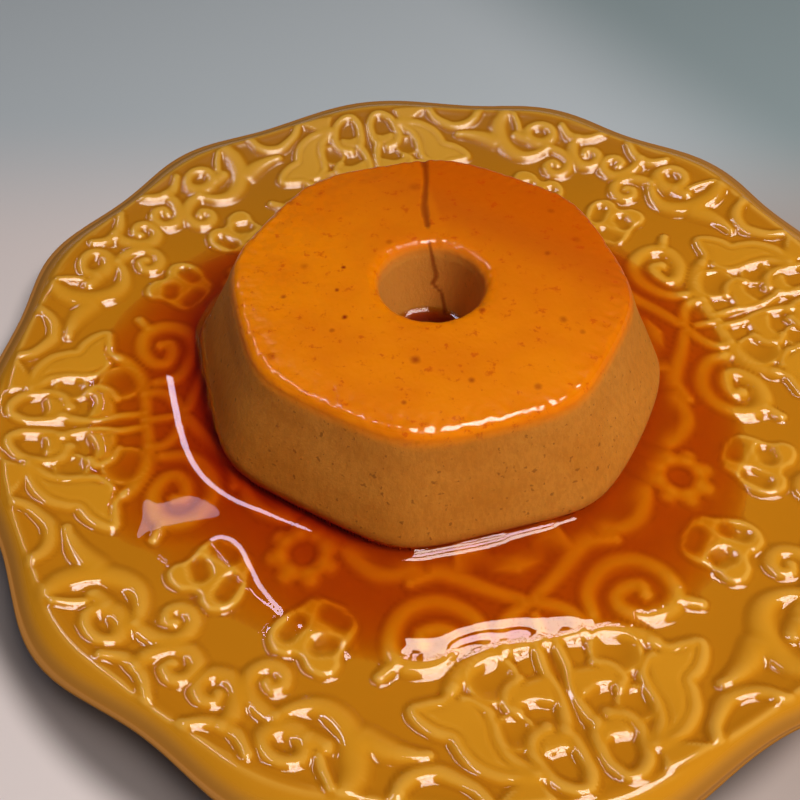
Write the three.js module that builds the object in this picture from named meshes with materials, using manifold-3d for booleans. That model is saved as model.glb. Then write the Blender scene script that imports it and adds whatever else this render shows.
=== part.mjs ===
// Creme caramel on its embossed ceramic plate: a plate with a scalloped rim and raised scrollwork,
// a moulded custard with a hole through it, the caramel lying round its foot, and the caramel in its hole.
//
// Millimetres, +Z up. The origin is the centre of the plate's foot, on the table.
// The scrollwork repeats eight times: a palmette stands on each of the four axes, and each diagonal
// is a line of mirror symmetry between two of them.

import * as THREE from 'three';
import { mergeVertices } from 'three/addons/utils/BufferGeometryUtils.js';
import Module from 'manifold-3d';

const wasm = await Module();
wasm.setup();

// ---- Driving dimensions ------------------------------------------------------------------------

const GAP = 0.3; // clearance between pieces that touch in life

// plate
const RIM_RADIUS = 111.4; // middle of the scallops
const RIM_SHIFT = [1.3, 0.4]; // the edge's centre from the ornament's
const FLARE_RADIUS = 98; // the rim follows its edge outside this
const SCALLOP = 1.9; // how far a lobe stands out, and a notch stands in
const PINCH = { depth: 2, turn: 286, spread: 12 }; // where the edge is pressed in a little, in degrees
const NOTCH = 27.5; // degrees from a diagonal to the notch beside it; another lies on the diagonal
const WELL_TOP = 5.2;
const WELL_RADIUS = 60; // flat inside this, then the plate rises as a shallow bowl
const RISE = 0.0043; // the bowl's rise for each square millimetre past the well
const CREST_RADIUS = 106; // where the rim is highest before it rolls down to its edge
const CREST_TOP = 13.9;
const FOOT_RADIUS = 63;
const FOOT_WIDTH = 5;
const PLATE_SEGMENTS = 72;

// raised scrollwork
const RIDGE_HEIGHT = 1.1; // over the plate
const RIDGE_ROOT = 0.5; // how deep a ridge reaches into the plate
const RIDGE_SPREAD = 1.35; // a ridge's foot over the half width drawn for it
const ORNAMENT_TURN = 0.9; // degrees between the ornament and the scallops

// custard, turned and set a little off the plate's centre, as it fell from its mould
const FLAN_CENTRE = [-3.9, 4.9];
const FLAN_TURN = 26; // degrees from +X to a corner of its eight sides
const FLAN_TOP = 34.3;
const FLAN_TOP_RADIUS = 46; // to the corners, where the rounded edge ends
const FLAN_BASE_RADIUS = 58;
const FLAN_EDGE = 3; // rounding of the top edge
const TOP_CORNERS = 0.62; // 1 is a sharp octagon, 0 a circle
const BASE_CORNERS = 0.25;
const HOLE_SHIFT = [0, -1.3]; // the hole's centre from the custard's
const HOLE_TOP_RADIUS = 12;
const HOLE_BASE_RADIUS = 10;
const HOLE_EDGE = 2.4;
const FLAN_SEGMENTS = 48;

// caramel
const POOL_LEVEL = 7.5; // over the plate's centre
const POOL_TILT = 0.0085; // it stands deeper towards POOL_SIDE
const POOL_SIDE = 165; // degrees from +X
const POOL_REACH = 89;
const HOLE_LEVEL = 14;

// ---- Materials ---------------------------------------------------------------------------------

const glaze = new THREE.MeshStandardMaterial({ name: 'ochre_glaze', color: 0xc98a1e, roughness: 0.15 });
const custard = new THREE.MeshStandardMaterial({ name: 'custard', color: 0xcf8220, roughness: 0.4 });
const syrup = new THREE.MeshStandardMaterial({ name: 'caramel', color: 0x9c4605, roughness: 0.06 });

// ---- Solids and their joining ------------------------------------------------------------------

const radians = (degrees) => (degrees * Math.PI) / 180;
const mix = (a, b, t) => a + (b - a) * t;

// A closed three.js geometry as a manifold solid.
function solid(geometry) {
  const bare = geometry.index ? geometry.clone() : geometry;
  bare.deleteAttribute('normal');
  bare.deleteAttribute('uv');
  const merged = mergeVertices(bare, 1e-4);
  const mesh = new wasm.Mesh({
    numProp: 3,
    vertProperties: new Float32Array(merged.attributes.position.array),
    triVerts: new Uint32Array(merged.index.array),
  });
  return new wasm.Manifold(mesh);
}

function joined(solids) {
  return solids.reduce((whole, piece) => whole.add(piece));
}

// The largest separate body of a solid, without the crumbs that a cut can leave.
function largest(whole) {
  return whole.decompose().reduce((a, b) => (a.volume() > b.volume() ? a : b));
}

function geometryOf(whole) {
  const { vertProperties, triVerts } = whole.getMesh();
  const geometry = new THREE.BufferGeometry();
  geometry.setAttribute('position', new THREE.BufferAttribute(vertProperties, 3));
  geometry.setIndex(new THREE.BufferAttribute(triVerts, 1));
  return geometry;
}

// A turned body about +Z from [radius, height] points, which start and end on the axis.
function turned(profile, segments) {
  const points = profile.map(([radius, height]) => new THREE.Vector2(radius, height));
  return new THREE.LatheGeometry(points, segments).rotateX(Math.PI / 2);
}

// Moves every vertex of a geometry by a rule that gets and returns [x, y, z].
function reshaped(geometry, rule) {
  const position = geometry.attributes.position;
  for (let i = 0; i < position.count; i += 1) {
    position.setXYZ(i, ...rule([position.getX(i), position.getY(i), position.getZ(i)]));
  }
  return geometry;
}

// ---- Plate -------------------------------------------------------------------------------------

// Height of the plate's upper face, without its scrollwork.
function plateTop(radius) {
  const past = Math.max(0, radius - WELL_RADIUS);
  return Math.min(WELL_TOP + RISE * past * past, CREST_TOP);
}

// How far the edge stands out at an angle: two narrow lobes by each diagonal, a wide one on each axis.
function scallop(angle) {
  const fromDiagonal = Math.abs((((angle % 90) + 90) % 90) - 45);
  if (fromDiagonal < NOTCH) return -SCALLOP * Math.cos(radians((fromDiagonal * 360) / NOTCH));
  const fromAxis = 45 - fromDiagonal;
  return SCALLOP * Math.cos(radians((fromAxis * 180) / (45 - NOTCH)));
}

// How far the edge is pressed in at an angle.
function pinch(angle) {
  const away = ((((angle - PINCH.turn + 180) % 360) + 360) % 360) - 180;
  return PINCH.depth * Math.exp(-((away / PINCH.spread) ** 2));
}

function plateBody() {
  const profile = [
    [0, 1.3],
    [FOOT_RADIUS - FOOT_WIDTH - 1.5, 1.3],
    [FOOT_RADIUS - FOOT_WIDTH, 0],
    [FOOT_RADIUS, 0],
    [FOOT_RADIUS + 2, 1.4],
    [78, 2.7],
    [92, 5.9],
    [103, 9.2],
    [RIM_RADIUS - 1.4, 10.5],
    [RIM_RADIUS, 11.3],
    [RIM_RADIUS - 1.6, 12.3],
    [CREST_RADIUS, CREST_TOP],
  ];
  for (const radius of [100, 90, 77, WELL_RADIUS]) profile.push([radius, plateTop(radius)]);
  profile.push([0, WELL_TOP]);

  // the scallops are full at the edge and fade out towards the scrollwork
  const scalloped = ([x, y, z]) => {
    const radius = Math.hypot(x, y);
    const share = Math.max(0, (radius - FLARE_RADIUS) / (RIM_RADIUS - FLARE_RADIUS));
    const angle = (Math.atan2(y, x) * 180) / Math.PI;
    const scale = radius > 0 ? 1 + (share * (scallop(angle) - pinch(angle))) / radius : 1;
    return [x * scale + share * RIM_SHIFT[0], y * scale + share * RIM_SHIFT[1], z];
  };
  return solid(reshaped(turned(profile, PLATE_SEGMENTS), scalloped));
}

// ---- Scrollwork --------------------------------------------------------------------------------

// A path's points are [degrees from the diagonal towards the palmette, radius].
// A curl winds about a centre, from one reach to another, and starts at an angle with 0 along the
// rim and 90 outwards. An oval is a closed curl.
function curl([turn, radius], from, to, start, sweep, count, squash = 1) {
  const points = [];
  for (let i = 0; i <= count; i += 1) {
    const angle = radians(start + (sweep * i) / count);
    const reach = mix(from, to, i / count);
    const along = (reach * Math.cos(angle) * 180) / (Math.PI * radius);
    points.push([turn + along, radius + reach * squash * Math.sin(angle)]);
  }
  return points;
}

const oval = (centre, across, squash, count) => curl(centre, across, across, 0, 360, count, squash);

// Each stroke has a path, its half width at the start, the middle and the end, and its facets along.
const STROKES = [
  { name: 'ring', path: oval([12.3, 98.9], 4.5, 0.78, 9), half: [1.2, 1.2, 1.2], facets: 7 },
  { name: 'comma', path: [[17.4, 104], [16.4, 100.5], [17, 97], [14.6, 95.4]], half: [0.6, 1, 1], facets: 2 },
  {
    name: 'crescent',
    path: [[19.2, 104.4], [20.4, 100], [19.8, 95], [16.4, 90.2], [12.6, 90.6], [9.8, 95.5]],
    half: [0.8, 2.1, 1.2],
    facets: 6,
  },
  { name: 'leaf', path: [[20, 93], [22.8, 95.6], [25.4, 95.7], [28.2, 94.3]], half: [1.5, 2.3, 0.6], facets: 2 },
  {
    name: 'hook',
    path: [[10.2, 94], [8, 93.1], ...curl([7.3, 88], 3.6, 1.4, 150, 250, 6)],
    half: [1.1, 1.3, 1.1],
    facets: 6,
  },
  {
    name: 'curl',
    path: [[6.1, 99.6], ...curl([2.5, 95.2], 5.2, 1.4, 5, -320, 8)],
    half: [1.1, 1.2, 1.1],
    facets: 6,
  },
  { name: 'whisk', path: [[1, 102.8], [6.1, 99.7], [9.6, 102.2]], half: [0.7, 1.2, 0.7], facets: 2 },
  { name: 'moon', path: curl([28.5, 103.2], 5.4, 5.4, 188, 164, 5, 0.86), half: [0.8, 1.1, 0.8], facets: 4 },
  { name: 'bud', path: oval([42, 97], 3.3, 1.66, 9), half: [1.1, 1.1, 1.1], facets: 7 },
  {
    name: 'petal',
    path: [[43.7, 92.6], ...curl([40.6, 86.4], 5, 5.2, 10, -225, 7, 1.05)],
    half: [1.1, 1.3, 1.0],
    facets: 6,
  },
  {
    name: 'wing',
    path: [[39.2, 99], [36.2, 97.2], [33.6, 93], [32.6, 88.6], [31.2, 84.4]],
    half: [1, 2.9, 2.3],
    facets: 4,
  },
  { name: 'thorn', path: [[31.4, 87.2], [28.3, 87], [25.6, 85.8]], half: [2.4, 1.6, 0.6], facets: 1 },
  {
    name: 'bow',
    path: [[29.4, 84], [30.7, 79.6], [33.2, 76], [38, 74.3], [44.6, 74.2]],
    half: [1.6, 1.5, 1.2],
    facets: 5,
  },
];

// A ridge's cross-section as [share of its half width, height over the plate].
const RIDGE_SECTION = [[-1, -RIDGE_ROOT], [0, RIDGE_HEIGHT], [1, -RIDGE_ROOT]];

// One stroke as a low ridge that follows the plate, in the sector and on the side asked for.
function ridge({ path, half, facets }, sector, side) {
  const place = ([turn, radius]) => {
    const angle = radians(45 + ORNAMENT_TURN + 90 * sector + side * turn);
    return new THREE.Vector2(radius * Math.cos(angle), radius * Math.sin(angle));
  };
  const first = path[0];
  const last = path[path.length - 1];
  const closed = Math.hypot(first[0] - last[0], first[1] - last[1]) < 1e-6;
  const spline = new THREE.SplineCurve(path.map(place));
  const sections = closed ? facets : facets + 1;
  const corners = RIDGE_SECTION.length;
  const vertices = [];
  for (let i = 0; i < sections; i += 1) {
    const t = i / facets;
    const point = spline.getPointAt(t);
    const ahead = spline.getTangentAt(t);
    if (closed && i === 0) ahead.add(spline.getTangentAt(1)).normalize();
    const width = t < 0.5 ? mix(half[0], half[1], t * 2) : mix(half[1], half[2], t * 2 - 1);
    const surface = plateTop(point.length());
    for (const [across, height] of RIDGE_SECTION) {
      const reach = across * width * RIDGE_SPREAD * side;
      vertices.push(point.x - ahead.y * reach, point.y + ahead.x * reach, surface + height);
    }
  }
  const faces = [];
  for (let i = 0; i < facets; i += 1) {
    const here = corners * i;
    const next = corners * ((i + 1) % sections);
    for (let k = 0; k < corners; k += 1) {
      const beside = (k + 1) % corners;
      faces.push(here + k, next + k, next + beside, here + k, next + beside, here + beside);
    }
  }
  if (!closed) {
    const end = corners * facets;
    faces.push(0, 1, 2, end + 2, end + 1, end);
  }
  if (side < 0) faces.reverse();
  const geometry = new THREE.BufferGeometry();
  geometry.setAttribute('position', new THREE.Float32BufferAttribute(vertices, 3));
  geometry.setIndex(faces);
  return solid(geometry);
}

function scrollwork() {
  const ridges = [];
  for (let sector = 0; sector < 4; sector += 1) {
    for (const side of [-1, 1]) {
      for (const stroke of STROKES) ridges.push(ridge(stroke, sector, side));
    }
  }
  return ridges;
}

// ---- Custard -----------------------------------------------------------------------------------

// Radius at an angle of a soft octagon, as a share of its corner radius.
function octagon(angle, sharpness) {
  const fromFace = (((angle - FLAN_TURN) % 45) + 45) % 45 - 22.5;
  return 1 - sharpness * (1 - Math.cos(radians(22.5)) / Math.cos(radians(fromFace)));
}

// The custard grown by a margin all round; `below` extends it downwards.
function flanBody(grow = 0, below = 0) {
  const base = WELL_TOP + GAP - below;
  const top = FLAN_TOP + grow;
  const profile = [
    [0, base],
    [FLAN_BASE_RADIUS - 3.2 + grow, base],
    [FLAN_BASE_RADIUS - 0.9 + grow, WELL_TOP + 1],
    [FLAN_BASE_RADIUS + grow, WELL_TOP + 3],
    [FLAN_BASE_RADIUS - 1.2 + grow, 11.5],
    [mix(FLAN_BASE_RADIUS, FLAN_TOP_RADIUS, 0.42) + grow, 18.5],
    [mix(FLAN_BASE_RADIUS, FLAN_TOP_RADIUS, 0.76) + grow, 26],
    [FLAN_TOP_RADIUS + grow, FLAN_TOP - FLAN_EDGE],
    [FLAN_TOP_RADIUS - 0.7 + grow, top - FLAN_EDGE * 0.4],
    [FLAN_TOP_RADIUS - 1.9 + grow, top - FLAN_EDGE * 0.1],
    [FLAN_TOP_RADIUS - 4 + grow, top],
    [0, top],
  ];
  const eightSided = ([x, y, z]) => {
    const angle = (Math.atan2(y, x) * 180) / Math.PI;
    const sharpness = mix(BASE_CORNERS, TOP_CORNERS, Math.min(1, Math.max(0, z / FLAN_TOP)));
    const scale = octagon(angle, sharpness);
    return [x * scale + FLAN_CENTRE[0], y * scale + FLAN_CENTRE[1], z];
  };
  return solid(reshaped(turned(profile, FLAN_SEGMENTS), eightSided));
}

// What fills the hole, grown inwards by a negative margin.
function holeBody(grow, low, high) {
  const wall = (height) => mix(HOLE_BASE_RADIUS, HOLE_TOP_RADIUS, height / FLAN_TOP) + grow;
  const profile = [[0, low], [wall(low), low]];
  if (high > FLAN_TOP) {
    profile.push([wall(FLAN_TOP), FLAN_TOP - HOLE_EDGE]);
    profile.push([wall(FLAN_TOP) + HOLE_EDGE * 0.3, FLAN_TOP - HOLE_EDGE * 0.35]);
    profile.push([wall(FLAN_TOP) + HOLE_EDGE, FLAN_TOP + 0.02]);
    profile.push([wall(FLAN_TOP) + HOLE_EDGE, high]);
  } else {
    profile.push([wall(high), high]);
  }
  profile.push([0, high]);
  const body = turned(profile, 32);
  return solid(body.translate(FLAN_CENTRE[0] + HOLE_SHIFT[0], FLAN_CENTRE[1] + HOLE_SHIFT[1], 0));
}

// ---- Caramel -----------------------------------------------------------------------------------

// The pool up to its level, before the plate and the custard are cut from it.
function poolBody() {
  const low = WELL_TOP + GAP / 2;
  const profile = [[0, low], [POOL_REACH, low], [POOL_REACH, POOL_LEVEL], [0, POOL_LEVEL]];
  const deeper = [Math.cos(radians(POOL_SIDE)) * POOL_TILT, Math.sin(radians(POOL_SIDE)) * POOL_TILT];
  const tilted = ([x, y, z]) => [x, y, z > low + 0.01 ? z + x * deeper[0] + y * deeper[1] : z];
  return solid(reshaped(turned(profile, PLATE_SEGMENTS), tilted));
}

// ---- The part ----------------------------------------------------------------------------------

const plate = joined([plateBody(), ...scrollwork()]);
const flan = flanBody().subtract(holeBody(0, 0, FLAN_TOP + 3));
const raisedPlate = plate.translate([0, 0, GAP]);
const pool = largest(poolBody().subtract(raisedPlate).subtract(flanBody(GAP, GAP * 3)));
const holeCaramel = holeBody(-GAP, WELL_TOP + GAP, HOLE_LEVEL);

const part = new THREE.Group();
const pieces = [
  ['plate', largest(plate), glaze],
  ['flan', largest(flan), custard],
  ['caramel_pool', pool, syrup],
  ['caramel_in_hole', holeCaramel, syrup],
];
for (const [name, body, material] of pieces) {
  const mesh = new THREE.Mesh(geometryOf(body), material);
  mesh.name = name;
  part.add(mesh);
}

export default part;
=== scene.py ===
# %% [markdown]
# # A creme caramel on its embossed plate
#
# The real thing is three materials in one small scene: a glazed stoneware plate with scrollwork
# pressed into it, a soft custard turned out of an eight-sided ring mould, and the thin dark caramel
# that ran off it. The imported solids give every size. This notebook gives them their surfaces.
#
# All lengths below are millimetres until they become mesh vertices, which are metres.

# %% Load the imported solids
import math

import bmesh
import bpy
import numpy as np
from mathutils import Matrix, Vector, noise


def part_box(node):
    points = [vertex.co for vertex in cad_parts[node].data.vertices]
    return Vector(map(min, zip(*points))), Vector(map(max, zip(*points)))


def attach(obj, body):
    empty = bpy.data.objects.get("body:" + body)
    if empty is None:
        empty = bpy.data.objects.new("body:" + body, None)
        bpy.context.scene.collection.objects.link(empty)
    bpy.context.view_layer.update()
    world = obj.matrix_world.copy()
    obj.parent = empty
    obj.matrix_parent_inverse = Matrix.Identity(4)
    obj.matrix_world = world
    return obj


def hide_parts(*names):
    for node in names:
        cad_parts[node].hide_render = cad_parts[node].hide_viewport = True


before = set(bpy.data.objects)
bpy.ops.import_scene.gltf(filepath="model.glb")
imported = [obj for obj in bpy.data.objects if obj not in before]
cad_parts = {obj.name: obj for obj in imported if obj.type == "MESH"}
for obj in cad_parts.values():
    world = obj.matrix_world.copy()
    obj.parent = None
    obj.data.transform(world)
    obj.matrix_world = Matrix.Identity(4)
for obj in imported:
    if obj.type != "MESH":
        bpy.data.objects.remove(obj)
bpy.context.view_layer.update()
MM = 0.001


# %% [markdown]
# ## The camera first
#
# The camera comes before the pieces, so that each of them can be judged in a render at once. It hangs
# 17 cm over the table and looks down at about 51 degrees, so near and far rim differ in size. It is
# placed by what it looks at, its distance and three angles.

# %% Place the camera
LOOK_AT = Vector((-12.28, -2.14, 0.0))
DISTANCE = 217.5
ELEVATION = math.radians(50.78)
HEADING = math.radians(12.95)  # from +Y towards +X
ROLL = math.radians(-0.6)
LENS = 38.86

level_share = math.cos(ELEVATION)
back = Vector((-math.sin(HEADING) * level_share, -math.cos(HEADING) * level_share, math.sin(ELEVATION)))
camera = bpy.data.objects.new("camera", bpy.data.cameras.new("camera"))
camera.data.lens = LENS
camera.data.sensor_width = 36.0
camera.data.clip_start = 0.01
turn = (-back).to_track_quat("-Z", "Y").to_matrix() @ Matrix.Rotation(-ROLL, 3, "Z")
camera.matrix_world = Matrix.Translation((LOOK_AT + back * DISTANCE) * MM) @ turn.to_4x4()
bpy.context.scene.collection.objects.link(camera)
bpy.context.scene.camera = camera
print("camera at", [round(v / MM) for v in camera.matrix_world.translation], "mm")

# %% [markdown]
# ## Shader sums written as Python
#
# A material is a graph of small nodes, and its sums are unreadable as a list of links. The class
# below wraps one output, so that `a * 0.5 + b` adds the Math nodes itself.

# %% Wire and Finish
class Wire:
    """One output in a material. Python's operators on it add Math nodes."""

    def __init__(self, finish, socket):
        self.finish = finish
        self.socket = socket

    def maths(self, operation, *values):
        """A Math node on these values."""
        return self.finish.node("Math", {"operation": operation}, dict(enumerate(values)))

    def __add__(self, other):
        return self.maths("ADD", self, other)

    def __sub__(self, other):
        return self.maths("SUBTRACT", self, other)

    def __rsub__(self, other):
        return self.maths("SUBTRACT", other, self)

    def __mul__(self, other):
        return self.maths("MULTIPLY", self, other)

    __radd__ = __add__
    __rmul__ = __mul__

    def between(self, low, high):
        """0 below low, 1 above high, eased between them."""
        settings = {"interpolation_type": "SMOOTHSTEP"}
        return self.finish.node("MapRange", settings, {"Value": self, "From Min": low, "From Max": high})


class Finish:
    """A procedural material with one Principled shader."""

    def __init__(self, name, **constants):
        self.material = bpy.data.materials.new(name)
        self.material.use_nodes = True
        self.tree = self.material.node_tree
        self.shader = self.tree.nodes["Principled BSDF"]
        self.output = self.tree.nodes["Material Output"]
        for socket, value in constants.items():
            self.shader.inputs[socket.replace("_", " ")].default_value = value

    def node(self, kind, settings=None, inputs=None, output=0):
        """Adds a node of a kind, with its settings and then the values or links of its sockets."""
        made = self.tree.nodes.new("ShaderNode" + kind)
        for name, value in (settings or {}).items():
            setattr(made, name, value)
        for key, value in (inputs or {}).items():
            self.plug(value, made.inputs[key])
        return Wire(self, made.outputs[output])

    def plug(self, value, socket):
        """Links a wire to a socket, or sets the socket to a number or colour."""
        if isinstance(value, Wire):
            self.tree.links.new(value.socket, socket)
        else:
            socket.default_value = value

    def set(self, **sockets):
        """Plugs values into the Principled shader's sockets."""
        for name, value in sockets.items():
            self.plug(value, self.shader.inputs[name.replace("_", " ")])

    def attribute(self, name):
        """A number kept on the vertices."""
        return self.node("Attribute", {"attribute_name": name}, output="Fac")

    def place(self):
        """Where a point is on its piece, in metres."""
        return self.node("TexCoord", output="Object")

    def noise(self, per_mm, detail=2.0, roughness=0.5, vector=None):
        """Clouds of 0 to 1, so many in a millimetre."""
        inputs = {"Vector": vector or self.place(), "Scale": per_mm / MM}
        inputs.update({"Detail": detail, "Roughness": roughness})
        return self.node("TexNoise", None, inputs)

    def blend(self, share, first, second):
        """The first colour where the share is 0, the second where it is 1."""
        inputs = {0: share, 6: first, 7: second}  # a Mix node's colours are its sockets 6 and 7
        return self.node("Mix", {"data_type": "RGBA"}, inputs, 2)

    def bump(self, height, depth_mm):
        """A normal for a relief of this depth."""
        return self.node("Bump", None, {"Height": height, "Distance": depth_mm * MM, "Strength": 1.0})


def srgb(red, green, blue):
    """A colour picked as screen values 0 to 255, as the linear values that shaders use."""
    linear = [((v / 255 + 0.055) / 1.055) ** 2.4 if v > 10 else v / 255 / 12.92 for v in (red, green, blue)]
    return (*linear, 1.0)


print("shader helpers ready; middle grey is", round(srgb(128, 128, 128)[0], 3))

# %% [markdown]
# ## From a bmesh to a finished piece
#
# Plate and custard are turned shapes. One spin of a thousand steps would do, but an eighth is quicker
# to spin and to shape, and is then copied round. On the plate the first copy is a mirror image,
# because two eighths side by side mirror each other in the waves of its edge.

# %% Spin an eighth and copy it round
EIGHTHS = 8
SEAM = 1e-4  # vertices this near each other are one, in mm


def turned(profile, steps, closed=False, mirrored=False, shape_eighth=None):
    """A bmesh turned about Z from a [radius, height] profile, closed on itself or ending on the axis."""
    shape = bmesh.new()
    row = [shape.verts.new((radius, 0, height)) for radius, height in profile]
    pairs = list(zip(row, row[1:])) + ([(row[-1], row[0])] if closed else [])
    edges = [shape.edges.new(pair) for pair in pairs]
    origin, up = (0, 0, 0), (0, 0, 1)
    angle, steps = math.tau / EIGHTHS, steps // EIGHTHS
    bmesh.ops.spin(shape, geom=row + edges, cent=origin, axis=up, angle=angle, steps=steps, use_merge=False)
    if shape_eighth:
        shape_eighth(shape)
    for degrees in (45, 90, 180):  # each copy doubles what there is
        everything = shape.verts[:] + shape.edges[:] + shape.faces[:]
        copy = bmesh.ops.duplicate(shape, geom=everything)["geom"]
        verts = [item for item in copy if isinstance(item, bmesh.types.BMVert)]
        if mirrored and degrees == 45:
            bmesh.ops.scale(shape, verts=verts, vec=(1, -1, 1))
        else:
            matrix = Matrix.Rotation(math.radians(degrees), 3, up)
            bmesh.ops.rotate(shape, verts=verts, cent=origin, matrix=matrix)
    bmesh.ops.remove_doubles(shape, verts=shape.verts, dist=SEAM)
    bmesh.ops.recalc_face_normals(shape, faces=shape.faces)
    return shape


def places(shape):
    """The vertices of a bmesh as an array of x, y, z rows."""
    return np.array([vert.co for vert in shape.verts], float)


def move(shape, points):
    """Puts each vertex at its row of an array."""
    for vert, point in zip(shape.verts, points):
        vert.co = point


def remember(shape, name, values):
    """Stores one number for each vertex, for a material to read."""
    layer = shape.verts.layers.float.get(name) or shape.verts.layers.float.new(name)
    for vert, value in zip(shape.verts, values):
        vert[layer] = value


def finished(shape, name, material, node):
    """Makes an object of a bmesh in millimetres and lets it stand for its solid."""
    bmesh.ops.scale(shape, verts=shape.verts, vec=(MM, MM, MM))
    mesh = bpy.data.meshes.new(name)
    shape.to_mesh(mesh)
    shape.free()
    mesh.shade_smooth()
    mesh.materials.append(material)
    piece = bpy.data.objects.new(name, mesh)
    bpy.context.scene.collection.objects.link(piece)
    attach(piece, "root")
    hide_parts(node)
    triangles = sum(len(face.vertices) - 2 for face in mesh.polygons)
    print(f"{name}: {triangles} triangles")


def ease(low, high, values):
    """0 below low, 1 above high, a smooth S between them."""
    share = np.clip((values - low) / (high - low), 0, 1)
    return share * share * (3 - 2 * share)


print("a step eased from 0 to 1 is at", float(ease(0, 1, 0.25)), "after a quarter of its way")

# %% [markdown]
# ## The scrollwork as strokes
#
# The pressed ornament repeats in eight mirrored copies, so it is drawn once, in the wedge between a
# diagonal of the plate and the palmette beside it. A stroke is a path, whose points are [degrees from
# the diagonal, radius in mm], and a few half widths in mm that are spread evenly along it.

# %% Strokes of the rim
def curl(centre, start_reach, end_reach, start, sweep, count=10, squash=1.0):
    """Points that wind about a centre, 0 degrees along the rim and 90 outwards."""
    turns = np.radians(start + np.linspace(0, sweep, count + 1))
    reach = np.linspace(start_reach, end_reach, count + 1)
    along = np.degrees(reach * np.cos(turns) / centre[1])
    return [(centre[0] + a, centre[1] + out) for a, out in zip(along, reach * squash * np.sin(turns))]


RIM_STROKES = {
    "ring": (curl((12.6, 98.4), 4.0, 4.0, 90, 360, 12, 0.8), [1.7, 1.8, 2.5, 2.4, 2.2, 1.8, 1.7]),
    "thumb": ([(14.8, 95.9), (16.7, 96.5)], [2.2, 2.1]),
    "thread": ([(18.4, 103.8), (17.2, 101), (16.4, 98.4)], [1.2, 1.3, 1.4]),
    "crescent": (
        [(19.6, 104.4), (20.3, 100.5), (20.1, 97), (19, 93.3), (17, 90.4), (14.6, 89.3), (12.3, 90.7),
         (10.4, 94)],
        [2.2, 2.8, 3.2, 3.0, 2.8, 2.4, 2.0, 1.8],
    ),
    "leaf": ([(20.5, 93.4), (23.6, 94.6), (26.2, 95), (27.6, 94.8)], [3.2, 2.6, 1.9, 1.3]),
    "hook": (
        [(10.4, 94.2), (8.8, 94), (6.9, 93), (5.5, 91.2), (5.1, 88.6), (5.8, 86.2), (7.2, 85.3), (8.6, 86),
         (9.1, 87.8), (8.3, 89.3), (7.3, 88.8)],
        [1.9, 2.1, 2.2, 2.2, 2.0, 1.7],
    ),
    "curl": (
        [(5.9, 99.8), (6.1, 97.2), (5.5, 94.4), (4.4, 92.2), (2.9, 91.3), (1.3, 92.2), (0.7, 94.4),
         (1.1, 96.4), (2.3, 97.3), (3.5, 96.5), (3.4, 95.2)],
        [2.0, 2.3, 2.3, 2.1, 1.9, 1.7],
    ),
    "whisk": (
        [(2.4, 103.6), (3.8, 101.3), (5.7, 99.9), (7.8, 100.3), (9.6, 102.8)],
        [1.5, 1.7, 2.0, 1.7, 1.4],
    ),
    "moon": (
        [(24.4, 104.6), (25, 101), (26.4, 98.6), (28.5, 97.7), (30.4, 98.8), (32.2, 100.8), (33.2, 103.4)],
        [1.5, 1.9, 2.0, 1.9, 1.7, 1.5],
    ),
    "bud": (
        [(41.2, 90.8), (39.5, 92.2), (38.9, 95), (39.3, 98), (40.1, 100.8), (41.6, 102.7), (43, 102.6),
         (43.9, 100), (44, 97), (43.7, 94), (43, 91.5)],
        [1.9, 1.8, 1.6, 1.6, 1.7, 1.8],
    ),
    "petal_edge": (
        [(38.4, 86.8), (37.3, 85.4), (37.3, 83.4), (38.2, 81.6), (39.6, 80.2)],
        [1.4, 1.7, 1.7, 1.6, 1.3],
    ),
    "stem": ([(43.2, 92), (43.9, 88), (44.1, 84), (43.4, 79.5), (43.5, 74)], [1.8, 1.6, 1.4, 1.5, 1.6]),
    "wing_outer": (
        [(38.6, 99.2), (35.4, 98.6), (32.6, 96.2), (31.2, 93.2), (30.4, 91), (28.4, 90), (26.6, 88.4),
         (25.6, 86.4), (27.2, 85.2), (29.4, 84), (30.6, 81.2)],
        [2.0, 1.7],
    ),
    "wing_inner": (
        [(38.6, 98.6), (36.6, 96), (35.5, 92.5), (35.1, 89), (34.6, 86), (33.2, 84.2), (31.8, 83.8)],
        [2.0, 1.8, 1.7, 1.6],
    ),
    "bow": (
        [(30.4, 81.6), (31.4, 79.2), (33.2, 76.6), (36, 74.6), (39.2, 73.7), (45, 73.4)],
        [2.2, 2.4, 2.2, 2.0, 1.8],
    ),
}
print(len(RIM_STROKES), "strokes on an eighth of the rim")

# %% [markdown]
# ## Filled shapes of the ornament
#
# Between the ridges some shapes are filled. They are drawn as closed outlines with a shoulder, which
# takes fewer points than a bundle of strokes. Dimples, the hearts of the tulips, are pressed back into
# them. Some of the ground is hollowed like a bowl, and a bowl's far wall throws back a whole lamp.

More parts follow.
